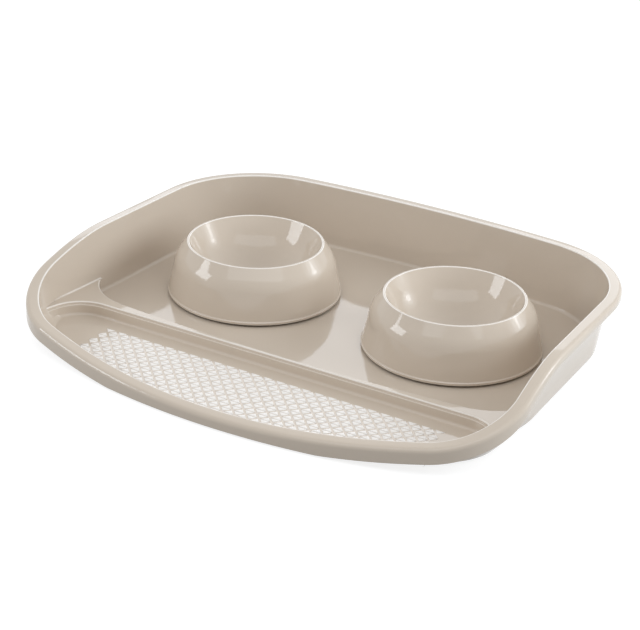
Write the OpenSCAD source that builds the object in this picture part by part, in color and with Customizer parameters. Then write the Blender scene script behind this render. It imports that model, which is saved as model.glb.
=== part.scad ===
// Double pet bowl: a moulded tray with a sweeping rim, two lift-out round bowls and rubber feet.
// Millimetres, +Z up, +X to the right, -Y to the front.
// The origin is the middle of the tray's footprint, on the surface that its feet stand on.

/* [Tray outline] */
// Depth of the opening, from its back edge to the middle of the bowed front edge
tray_d = 365; // [345:1:400]
// Width of the opening, across the centres of the bowls
tray_w = 436; // [425:1:470]
// Angle by which each side opens out towards the front
side_angle = 2.4; // [0:0.1:4]
// Radius of the bowed front edge
front_bow_r = 572; // [480:1:900]
// Radius of the slightly bowed back edge
back_bow_r = 1370; // [900:5:2500]
// Radius of the front corners
front_corner_r = 64; // [50:1:75]
// Radius of the back corners
back_corner_r = 93; // [70:1:110]

/* [Tray walls] */
// Thickness of the moulding
tray_t = 2.4; // [2:0.1:3.2]
// Height of the rim over the tray floor, at the back
back_h = 57.8; // [48:0.1:70]
// Height of the rim over the tray floor, at the middle of the front
front_h = 8.3; // [7.5:0.1:12]
// Angle by which the walls lean outwards
draft = 8; // [4:0.5:10]
// Angle by which the walls of the front tray lean outwards, below the height of the divider
front_lean = 40; // [20:1:46]
// Distance from the middle to where the front wall starts to lean more
lean_x = 140; // [120:1:160]
// Distance from the bowls' centres to where the side walls start to lean more
lean_y = 77; // [60:1:85]
// Distance over which either lean grows in full
lean_l = 45; // [35:1:55]
// Radius between the floor and the walls, inside
floor_r = 3.5; // [2.5:0.1:4]
// How far in front of the bowls' centres the rim starts to fall
fall_start = 60; // [40:1:80]
// Depth over which the rim would fall all the way, in one smooth S
fall_l = 300; // [250:1:340]
// Height of the floor's underside over the ground
stand = 1.8; // [1.2:0.1:3]

/* [Rim] */
// Width of the flat rim, from its inner edge to the outer face of its skirt
rim_w = 11.2; // [9:0.1:13]
// The same width at the back edge
rim_back_w = 13.6; // [11:0.1:15]
// Radius of the rim's inner edge
rim_edge_r = 1; // [0.5:0.1:1.5]
// Radius of the rim's outer edge
rim_round_r = 2.8; // [1.5:0.1:4]
// Height of the skirt that hangs from the rim, round the front
skirt_h = 14.3; // [9:0.1:16]
// Height of the skirt at the back
skirt_back_h = 7.5; // [6:0.1:14]
// Thickness of the skirt
skirt_t = 2.2; // [1.6:0.1:3]

/* [Divider] */
// Distance from the bowls' centres to the divider's front face
divider_y = 125; // [118:0.5:135]
// Width of the divider with its ledge, in the middle
divider_w = 4.5; // [4:0.1:7]
// Radius of the bow of the divider's rear edge
divider_bow_r = 1900; // [1400:10:2600]
// Height of the divider over the tray floor
divider_h = 11.8; // [9:0.1:16]
// Height of the small ledge below the divider's front edge
ledge_h = 2.4; // [1:0.1:4]
// Width of that ledge
ledge_w = 1.8; // [1:0.1:2.5]
// Radius of the bowl basin's front corners
basin_corner_r = 57; // [45:1:65]
// Distance from the middle to the centres of those corners
basin_corner_x = 162.7; // [150:0.1:168]
// Radius of the front tray's rear corners
apron_corner_r = 32; // [24:1:40]
// Distance from the middle to the centres of those corners
apron_corner_x = 180; // [170:1:184]

/* [Bowls] */
// Distance between the centres of the two bowls
bowl_pitch = 201.6; // [185:0.5:210]
// Distance from the opening's back edge to the bowls' centres
bowl_back = 140; // [120:0.5:145]
// Radius of a bowl at its base
bowl_base_r = 78.3; // [72:0.1:84]
// How far a bowl's top edge is drawn in from its base
mouth_in = 16.7; // [14:0.1:20]
// Height of a bowl, from its base to its top edge
bowl_h = 47.1; // [40:0.1:58]
// Angle by which the outer side leans in above the base
side_lean = 11.1; // [6:0.1:13]
// Angle by which the crown leans in below the top edge
crown_lean = 36; // [30:0.5:42]
// Radius of the shoulder between the side and the crown
shoulder_r = 30; // [15:0.5:36]
// Thickness of a bowl's walls
bowl_t = 2.2; // [1.6:0.1:2.8]
// Width of the rounded top edge
lip_w = 1.8; // [1.2:0.1:2.4]
// Height of the dish's bottom over the bowl's base
dish_base_h = 10; // [8:0.1:12]
// Angle by which the dish's side leans in
dish_lean = 28; // [20:0.5:34]
// Radius between the dish's side and its bottom
dish_r = 45; // [36:0.5:54]

/* [Bowl feet] */
// Height of the gap between a bowl's base and the tray floor
bowl_gap = 2.2; // [1.5:0.1:3.5]
// Radius of a rubber foot's pad
bowl_pad_r = 6; // [4.5:0.1:7]
// Radius of the moulded lug that holds a foot
lug_r = 8.4; // [7.8:0.1:10]
// Thickness of the lug
lug_t = 2.6; // [1.8:0.1:4]
// Radius of the foot's stem
stem_r = 2.2; // [1.6:0.1:2.6]
// Clearance between the stem and its hole
stem_fit = 0.2; // [0.15:0.05:0.3]
// Height of the barb above the lug
barb_h = 3; // [2:0.1:4]
// How far the barb stands out past the hole
barb_out = 0.6; // [0.3:0.1:1]

/* [Tray feet] */
// Radius of the rubber pads below the tray
pad_r = 9; // [7:0.1:11]
// Clearance between a pad and the ring moulded round it
pad_fit = 0.4; // [0.3:0.05:0.6]
// Width of that ring
ring_w = 1.6; // [1.2:0.1:2.5]
// Height of that ring below the floor
ring_h = 0.8; // [0.5:0.1:0.9]
// Distance of the pads from the opening's sides
pad_side_in = 68; // [50:1:90]
// Distance of the rear pads from the opening's back edge
pad_back_in = 70; // [55:1:90]
// Distance of the front pads from the middle of the opening's front edge
pad_front_in = 62; // [50:1:75]

/* [Hidden] */
SIDES = ["left", "right"];
CORNERS = ["front_left", "front_right", "back_left", "back_right"];

PLASTIC = "#cbbfb2";
RUBBER = "#6f675e";

// Overrun of every cut past the face that it opens
over = 1;
// Steps of the outline: front edge, corner, side, corner and back edge of one half
front_n = 10;
corner_n = 10;
side_n = 12;
back_n = 6;
// Steps of the small roundings of the tray's section
round_n = 3;
// Steps of the bowls' profile arcs
arc_n = 10;
// Facets of a full circle on the bowls and feet, and on the tray
fine = 96;
coarse = 48;

floor_top = stand + tray_t;
// The opening lies this far forward, so that the tray with its wider back rim is centred
forward = (rim_back_w - rim_w) / 2;
front_y = -tray_d / 2 - forward;
back_y = tray_d / 2 - forward;
bowl_y = back_y - bowl_back;
bowl_base_z = floor_top + bowl_gap;
rim_back_z = floor_top + back_h;
divider_z = floor_top + divider_h;
divider_front = bowl_y - divider_y;
divider_rear = divider_front + divider_w;
lean = tan(draft);
wall_u = tray_t / cos(draft);

// Points of an arc, from angle a to angle b in n steps
function arc(c, r, a, b, n) =
    [for (i = [0:n]) let (t = a + (b - a) * i / n) c + r * [cos(t), sin(t)]];

// A smooth S from 0 to 1
function smooth(t) = let (c = min(1, max(0, t))) c * c * (3 - 2 * c);

// The share of the fall that the rim has made at the depth y
function fall(y) = smooth((bowl_y - fall_start - y) / fall_l);

// Height of the rim at the depth y
function rim_z(y) = rim_back_z - (back_h - front_h) * fall(y) / fall(front_y);

// Centre of the circle that rounds the corner between the side and a bowed edge.
// It lies corner_r inside the side's line, and bow_r - corner_r from the bow's centre.
// The way is 1 at the back edge and -1 at the front edge.
function corner_centre(edge_y, bow_r, corner_r, way) =
    let (
        bow = [0, edge_y - way * bow_r],
        start = [tray_w / 2, bowl_y] - corner_r * [cos(side_angle), sin(side_angle)],
        along = [-sin(side_angle), cos(side_angle)],
        half = along * (start - bow),
        rest = (start - bow) * (start - bow) - pow(bow_r - corner_r, 2)
    )
    start + along * (-half + way * sqrt(half * half - rest));

// Angle at which a bow's arc meets the corner's arc
function meet(edge_y, bow_r, c, way) =
    let (bow = [0, edge_y - way * bow_r]) atan2(c.y - bow.y, c.x - bow.x);

front_c = corner_centre(front_y, front_bow_r, front_corner_r, -1);
back_c = corner_centre(back_y, back_bow_r, back_corner_r, 1);
front_a = meet(front_y, front_bow_r, front_c, -1);
back_a = meet(back_y, back_bow_r, back_c, 1);

// Stations of an arc from step i0 on: place and direction of the outward normal
function turn(c, r, a, b, n, i0) =
    [for (i = [i0:n]) let (t = a + (b - a) * i / n) [c.x + r * cos(t), c.y + r * sin(t), t]];

side_from = front_c + front_corner_r * [cos(side_angle), sin(side_angle)];
side_to = back_c + back_corner_r * [cos(side_angle), sin(side_angle)];

// The rim's inner edge on the right, from the middle of the front to the middle of the back
half_outline = concat(
    turn([0, front_y + front_bow_r], front_bow_r, -90, front_a, front_n, 0),
    turn(front_c, front_corner_r, front_a, side_angle, corner_n, 1),
    [for (i = [1:side_n - 1])
        let (p = side_from + (side_to - side_from) * i / side_n) [p.x, p.y, side_angle]],
    turn(back_c, back_corner_r, side_angle, back_a, corner_n, 0),
    turn([0, back_y - back_bow_r], back_bow_r, back_a, 90, back_n, 1)
);
half_n = len(half_outline);
outline = concat(
    half_outline,
    [for (i = [half_n - 2:-1:1]) let (s = half_outline[i]) [-s.x, s.y, 180 - s.z]]
);

// Outward place of the upper wall's inner face at the height z, where the rim stands at zr
function wall_in(zr, z) = (z - zr) * lean;

// Share of a low wall's height at which it bends, and of the rim's fall over which the skirt grows
bend_share = 0.6;
growth_share = 0.5;

// Where the wall's inner face bends, where the rim stands at zr
function bend(zr) =
    let (z = floor_top + min(divider_h, bend_share * (zr - floor_top))) [wall_in(zr, z), z];

// Angle by which the wall leans below that bend, at the station s
function low_lean(s) =
    draft + (front_lean - draft) * smooth((abs(s.x) - lean_x) / lean_l) * smooth((bowl_y - lean_y - s.y) / lean_l);

// The bend moved outwards by the distance u, so that both faces of the wall move by u
function bend_out(s, u) =
    let (a = low_lean(s))
    bend(rim_z(s.y)) + u * [cos(draft) + cos(a), -sin(draft) - sin(a)] / (1 + cos(a - draft));

// Centre of the rounding between the floor and the wall at the station s
function foot_centre(s) =
    let (a = low_lean(s), b = bend(rim_z(s.y)), z = floor_top + floor_r)
    [b.x + (z - b.y) * tan(a) - floor_r / cos(a), z];

// Width of the rim, and height of its skirt, at the station s
function rim_out(s) = rim_w + (rim_back_w - rim_w) * pow(max(0, sin(s.z)), 2);
function skirt(s) =
    skirt_back_h + (skirt_h - skirt_back_h) * smooth(fall(s.y) / fall(front_y) / growth_share);

// Section of the tray's wall, rim and skirt at the station s:
// outward distances and heights, from the floor's top round to its underside
function wall_section(s) =
    let (
        zr = rim_z(s.y),
        c = foot_centre(s),
        a = low_lean(s),
        w = rim_out(s),
        edge = [wall_in(zr, zr - rim_edge_r) + rim_edge_r / cos(draft), zr - rim_edge_r],
        hem = max(zr - skirt(s), stand),
        under = zr - tray_t
    )
    concat(
        arc(c, floor_r, -90, -a, round_n),
        [bend(zr)],
        arc(edge, rim_edge_r, 180 - draft, 90, round_n),
        arc([w - rim_round_r, zr - rim_round_r], rim_round_r, 90, 0, round_n),
        [[w, hem], [w - skirt_t, hem], [w - skirt_t, under]],
        [[wall_in(zr, under) + wall_u, under], bend_out(s, tray_t)],
        arc(c, floor_r + tray_t, -a, -90, round_n)
    );

// Share of the thickness to which the core reaches, and the lesser share to which the divider is rooted
core_share = 0.55;
root_share = 0.4;

// Section of a solid core that ends inside the wall's thickness
function core_section(s) =
    let (zr = rim_z(s.y), depth = tray_t * core_share)
    concat(
        [[wall_in(zr, zr - tray_t) + depth, zr - tray_t], bend_out(s, depth)],
        arc(foot_centre(s), floor_r + depth, -low_lean(s), -90, round_n)
    );

// A closed skin of sections set round the outline, with a flat cap inside each end
module lofted(sections) {
    n = len(sections);
    m = len(sections[0]);
    points = [for (i = [0:n - 1], q = sections[i])
        let (s = outline[i]) [s.x + q.x * cos(s.z), s.y + q.x * sin(s.z), q.y]];
    skin = [for (i = [0:n - 1], j = [0:m - 2])
        let (k = (i + 1) % n) each [
            [i * m + j, k * m + j + 1, i * m + j + 1],
            [i * m + j, k * m + j, k * m + j + 1]
        ]];
    first = [for (i = [n - 1:-1:0]) i * m];
    last = [for (i = [0:n - 1]) i * m + m - 1];
    polyhedron(points, concat(skin, [first, last]), convexity = 6);
}

// Turn of the basin's front corners and of the front tray's rear corners before they run straight on
basin_turn = 64;
apron_turn = 75;

// Centres of the divider's bowed rear edge and of the corners on the right
divider_bow = [0, divider_rear + divider_bow_r];
basin_c = [basin_corner_x, divider_bow.y - sqrt(pow(divider_bow_r - basin_corner_r, 2) - pow(basin_corner_x, 2))];
apron_c = [apron_corner_x, divider_front - apron_corner_r];
bow_turn = asin(basin_corner_x / (divider_bow_r - basin_corner_r));

// An outline's right half and its mirror image, closed far beyond the walls on the side of the way
module both_halves(half, way) {
    far = [half[len(half) - 1].x, way * tray_d];
    right = concat(half, [far]);
    polygon(concat(right, [for (i = [len(right) - 1:-1:0]) [-right[i].x, right[i].y]]));
}

// Plan of all that lies behind the divider, grown by the amount g
module behind_plan(g) {
    r = basin_corner_r + g;
    end = basin_c + r * [sin(basin_turn), -cos(basin_turn)];
    both_halves(concat(
        arc(divider_bow, divider_bow_r + g, -90 + bow_turn / corner_n, -90 + bow_turn, corner_n),
        [for (i = [1:corner_n])
            let (t = bow_turn + (basin_turn - bow_turn) * i / corner_n) basin_c + r * [sin(t), -cos(t)]],
        [end + basin_corner_r * [cos(basin_turn), sin(basin_turn)]]
    ), 1);
}

// Plan of all that lies in front of the divider, grown by the amount g
module front_plan(g) {
    r = apron_corner_r + g;
    end = apron_c + r * [sin(apron_turn), cos(apron_turn)];
    both_halves(concat(
        arc(apron_c, r, 90, 90 - apron_turn, corner_n),
        [end + 2 * apron_corner_r * [cos(apron_turn), -sin(apron_turn)]]
    ), -1);
}

// Plan of the divider and its shelves at both ends, drawn in at the front and at the rear
module divider_plan(inset_front, inset_rear) {
    from = apron_c.y - apron_corner_r;
    difference() {
        translate([-tray_w, from]) square([2 * tray_w, basin_c.y - from]);
        behind_plan(inset_rear);
        front_plan(inset_front);
    }
}

// Plan of the flat floor, kept one thickness clear of the foot of the walls
module floor_plan() {
    polygon([for (s = outline)
        let (u = foot_centre(s).x - tray_t) [s.x + u * cos(s.z), s.y + u * sin(s.z)]]);
}

// The raised divider with its ledge, ending inside the side walls
module divider() {
    base = floor_top - tray_t * root_share;
    intersection() {
        union() {
            translate([0, 0, base]) linear_extrude(divider_z - ledge_h - base) divider_plan(0, 0);
            translate([0, 0, base]) linear_extrude(divider_z - base) divider_plan(ledge_w, 0);
        }
        lofted([for (s = outline) core_section(s)]);
    }
}

// Share of the corners' distance from the middle at which the divider is wide enough for a hollow
hollow_share = 0.8;

// The hollows that the moulding leaves below the divider's wide ends
module divider_hollows() {
    for (side = [0, 1])
        mirror([side, 0]) translate([0, 0, stand - over])
            linear_extrude(divider_h + over)
                intersection() {
                    divider_plan(ledge_w + tray_t, tray_t);
                    floor_plan();
                    translate([basin_corner_x * hollow_share, -tray_d]) square(2 * tray_d);
                }
}

// Place of a pad under the tray
function tray_foot_at(corner) = [
    (corner == "front_left" || corner == "back_left" ? -1 : 1) * (tray_w / 2 - pad_side_in),
    corner == "front_left" || corner == "front_right" ? front_y + pad_front_in : back_y - pad_back_in
];

// The moulded ring that keeps a rubber pad in place
module pad_ring() {
    translate([0, 0, stand - ring_h])
        difference() {
            cylinder(h = ring_h + tray_t / 2, r = pad_r + pad_fit + ring_w, $fn = coarse);
            translate([0, 0, -over]) cylinder(h = ring_h + over, r = pad_r + pad_fit, $fn = coarse);
        }
}

// The moulded tray: floor, leaning walls, rim with its skirt, divider and pad rings
module tray() {
    color(PLASTIC) {
        difference() {
            union() {
                lofted([for (s = outline) wall_section(s)]);
                divider();
            }
            divider_hollows();
        }
        for (c = CORNERS) translate(tray_foot_at(c)) pad_ring();
    }
}

// A rubber pad under the tray
module tray_foot(corner) {
    color(RUBBER) translate(tray_foot_at(corner)) cylinder(h = stand, r = pad_r, $fn = fine);
}

bowl_mouth_r = bowl_base_r - mouth_in;
dish_d = bowl_h - dish_base_h;

// Where the straight side and the straight crown would meet, over the bowl's base
knee_z = (bowl_mouth_r + bowl_h * tan(crown_lean) - bowl_base_r) / (tan(crown_lean) - tan(side_lean));
knee = [bowl_base_r - knee_z * tan(side_lean), knee_z];
knee_l = shoulder_r * tan((crown_lean - side_lean) / 2);
shoulder_c = knee + knee_l * [sin(side_lean), -cos(side_lean)]
    - shoulder_r * [cos(side_lean), sin(side_lean)];

// Outer outline of a bowl, drawn in by the amount t: side, shoulder and crown
function bowl_outer(t) =
    let (
        low = [bowl_base_r - t / cos(side_lean), 0],
        top = [bowl_mouth_r, bowl_h] - t * [cos(crown_lean), sin(crown_lean)]
    )
    concat([low], arc(shoulder_c, shoulder_r - t, side_lean, crown_lean, arc_n), [top]);

// Centre of the rounding between the dish's side and its flat bottom
dish_top_r = bowl_mouth_r - lip_w;
dish_c = [
    dish_top_r - (dish_d - dish_r) * tan(dish_lean) - dish_r / cos(dish_lean),
    dish_base_h + dish_r
];

// Outline of the dish, grown by the amount t, from its bottom to its top edge
function dish_side(t) =
    concat(
        [[0, dish_base_h - t]],
        arc(dish_c, dish_r + t, -90, -dish_lean, arc_n),
        [[dish_top_r + t / cos(dish_lean) + over * tan(dish_lean), bowl_h + over]]
    );

// A profile turned about the bowl's axis
module spun(points) {
    rotate_extrude($fn = fine) polygon(points);
}

// Where the hollow below the crown ends
hollow_top = bowl_h - bowl_t;

// Place of a foot lug, from the bowl's axis
function lug_at(corner) =
    let (
        r = bowl_base_r - bowl_t / cos(side_lean) - lug_r + bowl_t / 2,
        x = corner == "front_left" || corner == "back_left" ? -1 : 1,
        y = corner == "front_left" || corner == "front_right" ? -1 : 1
    )
    r / sqrt(2) * [x, y];

// A round double-walled bowl on its base plane: outer skin, dish, open hollow below, foot lugs
module bowl_shell() {
    difference() {
        union() {
            difference() {
                spun(concat([[0, 0]], bowl_outer(0), [[0, bowl_h]]));
                difference() {
                    translate([0, 0, -over])
                        spun(concat([[0, 0]], [for (p = bowl_outer(bowl_t)) p + [0, p.y > 0 ? over : 0]],
                            [[0, hollow_top]]));
                    spun(concat(dish_side(bowl_t), [[0, bowl_h + over]]));
                }
            }
            for (c = CORNERS) translate(lug_at(c)) cylinder(h = lug_t, r = lug_r, $fn = fine);
        }
        spun(concat(dish_side(0), [[0, bowl_h + over]]));
        for (c = CORNERS)
            translate([lug_at(c).x, lug_at(c).y, -over])
                cylinder(h = lug_t + 2 * over, r = stem_r + stem_fit, $fn = fine);
    }
}

// A push-in rubber foot: pad, stem and barb
module bowl_foot_shape() {
    barb_r = stem_r + stem_fit + barb_out;
    seat = lug_t + stem_fit;
    translate([0, 0, -bowl_gap]) cylinder(h = bowl_gap, r = bowl_pad_r, $fn = fine);
    cylinder(h = seat, r = stem_r, $fn = fine);
    translate([0, 0, seat]) cylinder(h = barb_h, r1 = barb_r, r2 = stem_r, $fn = fine);
}

// Place of a bowl's base centre
function bowl_at(side) = [(side == "left" ? -1 : 1) * bowl_pitch / 2, bowl_y, bowl_base_z];

module bowl(side) {
    color(PLASTIC) translate(bowl_at(side)) bowl_shell();
}

module bowl_foot(side, corner) {
    color(RUBBER) translate(bowl_at(side)) translate(lug_at(corner)) bowl_foot_shape();
}

tray();
for (s = SIDES) bowl(s);
for (c = CORNERS) tray_foot(c);
for (s = SIDES, c = CORNERS) bowl_foot(s, c);
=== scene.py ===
"""Looks of a double pet bowl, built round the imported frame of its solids.

A moulded tray with a sweeping rim, a raised divider and a fine grip pattern carries two round
double-walled bowls on rubber feet. Sizes are in millimetres in the classes and in metres in
Blender, in the frame of the solids: +Z up, +X to the right, -Y to the low front edge.
"""

from __future__ import annotations

import logging
import math
from dataclasses import dataclass, field, replace
from enum import Enum
from functools import cached_property
from typing import Any, Sequence

import bpy
import numpy as np
from bpy.types import Material, NodeSocket, NodeTree, Object
from mathutils import Matrix, Vector

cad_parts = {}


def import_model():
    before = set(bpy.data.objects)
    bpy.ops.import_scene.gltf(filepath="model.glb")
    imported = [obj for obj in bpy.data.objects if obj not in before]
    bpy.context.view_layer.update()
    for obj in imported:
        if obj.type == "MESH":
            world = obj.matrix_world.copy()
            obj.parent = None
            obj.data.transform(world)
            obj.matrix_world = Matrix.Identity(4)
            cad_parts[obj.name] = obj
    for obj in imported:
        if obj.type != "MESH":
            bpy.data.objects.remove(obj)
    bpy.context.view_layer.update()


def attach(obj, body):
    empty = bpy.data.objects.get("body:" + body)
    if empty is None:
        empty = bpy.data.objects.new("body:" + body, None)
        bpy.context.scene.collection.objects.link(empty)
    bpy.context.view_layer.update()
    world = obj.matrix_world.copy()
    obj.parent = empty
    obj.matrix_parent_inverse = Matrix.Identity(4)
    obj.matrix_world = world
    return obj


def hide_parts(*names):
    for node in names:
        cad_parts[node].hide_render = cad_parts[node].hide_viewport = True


Triple = tuple[float, float, float]
Values = np.ndarray | float

LOG = logging.getLogger("pet_bowl")
MM = 0.001
TINY = 1e-6
QUARTER = math.pi / 2
WHITE = (1, 1, 1, 1)
# Name of the point weights by which finishes paint a highlight on tight edges.
PAINTED_HIGHLIGHT = "painted_highlight"
# The radius from which a rounding counts as soft and starts to take the painted edge highlight, and
# that from which it takes it in full.
SOFT_R, SHARP_R = 2.2, 1.2


class Place(Enum):
    """A place whose name the nodes spell in lower case."""

    @property
    def label(self) -> str:
        """The name as the nodes spell it."""
        return self.name.lower()


class Side(Place):
    """The two halves of the tray, with the sign of x on each."""

    LEFT = -1
    RIGHT = 1


class Corner(Place):
    """The four places of a set of feet, with the signs of x and y."""

    FRONT_LEFT = (-1, -1)
    FRONT_RIGHT = (1, -1)
    BACK_LEFT = (-1, 1)
    BACK_RIGHT = (1, 1)


# ---- meshes ----


def unit(angle: Values) -> np.ndarray:
    """Unit vectors (cos a, sin a) along the last axis."""
    return np.stack([np.cos(angle), np.sin(angle)], axis=-1)


def smooth(t: Values) -> np.ndarray:
    """A smooth S from 0 to 1: t t (3 - 2 t) for t held between 0 and 1."""
    t = np.clip(t, 0, 1)
    return t * t * (3 - 2 * t)


def arc(centre: Sequence[float], radius: float, start: float, end: float,
        steps: int) -> np.ndarray:
    """Points centre + radius (cos a, sin a), for angles a spread evenly from start to end.

    Args:
        centre: the arc's centre.
        radius: its radius.
        start: the first angle, in degrees.
        end: the last angle, in degrees.
        steps: the number of steps between them.

    Returns:
        An array of steps + 1 points.
    """
    return np.asarray(centre) + radius * unit(np.radians(np.linspace(start, end, steps + 1)))


def rounded(points: Sequence[Sequence[float]], radii: Sequence[float],
            steps: int = 6) -> np.ndarray:
    """An open outline whose inner corners are replaced by tangent arcs.

    At a corner p between unit directions a and b, with turn t between them, the arc of radius r
    starts r tan(t / 2) before p and ends as far behind it. Its points are
    c + r (n cos w + a sin w), with w from 0 to t, where n is the normal of a on the outer side and
    c lies r inside the first tangent point.

    Args:
        points: the outline's corners.
        radii: one radius for each inner corner; zero keeps it sharp.
        steps: the steps of each arc.

    Returns:
        The rounded outline.
    """
    corners = np.asarray(points, float)
    out = [corners[:1]]
    for i, radius in enumerate(radii, start=1):
        before, at, after = corners[i - 1], corners[i], corners[i + 1]
        a = (at - before) / np.linalg.norm(at - before)
        b = (after - at) / np.linalg.norm(after - at)
        cross = a[0] * b[1] - a[1] * b[0]
        turn = math.atan2(abs(cross), float(a @ b))
        if radius <= 0 or turn < 1e-4:
            out.append(at[None])
            continue
        outer = np.array([a[1], -a[0]]) * math.copysign(1.0, cross)
        first = at - a * radius * math.tan(turn / 2)
        w = np.linspace(0, turn, steps + 1)[:, None]
        out.append(first - outer * radius + radius * (outer * np.cos(w) + a * np.sin(w)))
    out.append(corners[-1:])
    return np.concatenate(out)


def held(outline: np.ndarray, hold: float) -> np.ndarray:
    """Adds a point near both ends of each long step, so that smooth shading stays on the arcs.

    Args:
        outline: points of an open outline.
        hold: the distance of an added point from its end, used on steps over four times as long.

    Returns:
        The outline with the added points.
    """
    steps = np.diff(outline, axis=0)
    length = np.linalg.norm(steps, axis=1)
    long = length > 4 * hold
    share = np.where(long, hold / np.maximum(length, TINY), 0)[:, None]
    near = outline[:-1] + steps * share
    far = outline[1:] - steps * share
    stacked = np.stack([outline[:-1], near, far], axis=1).reshape(-1, outline.shape[1])
    keep = np.stack([np.ones_like(long), long, long], axis=1).reshape(-1)
    return np.concatenate([stacked[keep], outline[-1:]])


def ridges(outline: np.ndarray, way: int = 1) -> np.ndarray:
    """How much each point of an outline lies on a tight crest, from 0 to 1: its share of painted
    edge highlight.

    The bend at a point is its turn divided by the mean length of its two steps, which is 1 / r on
    an arc of radius r. The weight grows smoothly from the bend of SOFT_R to that of SHARP_R.

    Args:
        outline: points (..., n, 2).
        way: 1 where ridges turn anticlockwise, -1 where they turn clockwise.

    Returns:
        Weights (..., n).
    """
    step = np.diff(outline, axis=-2)
    before, after = step[..., :-1, :], step[..., 1:, :]
    cross = before[..., 0] * after[..., 1] - before[..., 1] * after[..., 0]
    length = np.linalg.norm(step, axis=-1)
    mean = np.maximum((length[..., :-1] + length[..., 1:]) / 2, TINY)
    bend = way * np.arctan2(cross, (before * after).sum(axis=-1)) / mean
    highlight_share = smooth((bend - 1 / SOFT_R) / (1 / SHARP_R - 1 / SOFT_R))
    return np.pad(highlight_share, [(0, 0)] * (highlight_share.ndim - 1) + [(1, 1)])


def grid_faces(rows: int, cols: int, wrap_rows: bool = False) -> np.ndarray:
    """Quads of a grid whose point (i, j) has the index i * cols + j.

    Args:
        rows: the number of rows.
        cols: the number of points in a row.
        wrap_rows: whether the last row joins the first.

    Returns:
        An array of quads.
    """
    i = np.arange(rows if wrap_rows else rows - 1)[:, None]
    near, far = (k * cols + np.arange(cols - 1) for k in (i, (i + 1) % rows))
    return np.stack([near, near + 1, far + 1, far], axis=-1).reshape(-1, 4)


def lifted(plan: np.ndarray, z: Values) -> np.ndarray:
    """Points (x, y, z) over those of a plan (..., 2), each at its height z."""
    return np.concatenate([plan, np.broadcast_to(z, plan.shape[:-1])[..., None]], axis=-1)


def put(name: str, data: bpy.types.ID) -> Object:
    """Makes an object of its data and links it into the scene."""
    obj = bpy.data.objects.new(name, data)
    bpy.context.scene.collection.objects.link(obj)
    return obj


@dataclass
class MeshBatch:
    """Points and faces of one piece, gathered before they go into a mesh."""

    points: list[np.ndarray] = field(default_factory=list)
    # How much painted edge highlight each point takes.
    painted_highlight: list[np.ndarray] = field(default_factory=list)
    faces: list[list[int]] = field(default_factory=list)
    count: int = 0

    def add(self, points: np.ndarray, faces: np.ndarray | None = None, painted_highlight: Values = 0.0) -> int:
        """Adds points and the faces that index them from zero.

        Args:
            points: an array of points in millimetres.
            faces: their indices, a row for each face.
            painted_highlight: how much painted edge highlight each point takes, from its tight
                roundings.

        Returns:
            The index of the first added point.
        """
        start = self.count
        self.painted_highlight.append(np.broadcast_to(painted_highlight, points.shape[:-1]).reshape(-1))
        self.points.append(points.reshape(-1, 3))
        self.count += len(self.points[-1])
        if faces is not None:
            self.faces.extend((faces + start).tolist())
        return start

    def lathe(self, profile: np.ndarray, centre: Sequence[float], segments: int,
              ring: bool = False) -> None:
        """Adds a profile turned about an axis: (r, z) becomes centre + (r cos a, r sin a, z).

        Ends at r = 0 are closed by a fan round one point.

        Args:
            profile: an array of (r, z), with the solid to its left, so that faces point outward.
            centre: a point of the vertical axis.
            segments: the number of steps of a turn.
            ring: whether the profile's last point is joined to its first.
        """
        turned = profile[:, 0] > TINY
        body = np.concatenate([profile, profile[:1]]) if ring else profile[turned]
        cols = len(body)
        a = np.linspace(0, 2 * math.pi, segments, endpoint=False)
        points = lifted(unit(a)[:, None] * body[:, :1], body[:, 1]) + centre
        faces = grid_faces(segments, cols, wrap_rows=True)[:, ::-1]
        # The profile's tight roundings take painted edge highlight; closed rings take none.
        start = self.add(points, faces, 0.0 if ring else ridges(profile)[turned])
        rows = np.arange(segments) * cols + start
        for end, column, way in ((profile[0], 0, -1), (profile[-1], cols - 1, 1)):
            if end[0] <= TINY:
                pole = self.add(np.array([[0, 0, end[1]]]) + centre)
                edge = np.stack([rows, np.roll(rows, -1)], axis=-1)[:, ::way] + column
                self.faces.extend([[*pair, pole] for pair in edge.tolist()])

    def build(self, name: str, body: str, slot: str, material: Material,
              replaces: Sequence[str] = ()) -> None:
        """Makes the piece: mesh, smooth shading, material and body.

        Args:
            name: the piece's name.
            body: the body that it moves with.
            slot: not used.
            material: its finish.
            replaces: nodes that it stands for.
        """
        mesh = bpy.data.meshes.new(name)
        mesh.from_pydata(np.concatenate(self.points) * MM, [], self.faces)
        mesh.polygons.foreach_set("use_smooth", np.ones(len(mesh.polygons), bool))
        # Weights by which the finish paints a highlight on tight edges.
        highlight_weights = mesh.attributes.new(PAINTED_HIGHLIGHT, "FLOAT", "POINT")
        highlight_weights.data.foreach_set("value", np.concatenate(self.painted_highlight))
        mesh.update()
        obj = put(name, mesh)
        obj.data.materials.append(material)
        if replaces:
            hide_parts(*replaces)
        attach(obj, body)
        LOG.info("%s: %d points, %d faces on %s", name, self.count, len(self.faces), body)


# ---- finishes ----


def add_node(tree: NodeTree, node: bpy.types.Node | str,
             inputs: dict[str | int, Any] | None = None, **settings: str) -> bpy.types.NodeOutputs:
    """Adds a shader node, or takes one that is there, and links or sets its inputs.

    Args:
        tree: the node tree.
        node: the node, or the type of a new one, without the leading ShaderNode.
        inputs: for an input's name or number, the socket that feeds it or its value.
        **settings: its own properties, set first because some of them choose its sockets.

    Returns:
        Its outputs.
    """
    if isinstance(node, str):
        node = tree.nodes.new("ShaderNode" + node)
    for key, value in settings.items():
        setattr(node, key, value)
    for key, value in (inputs or {}).items():
        if isinstance(value, NodeSocket):
            tree.links.new(value, node.inputs[key])
        else:
            node.inputs[key].default_value = value
    return node.outputs


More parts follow.
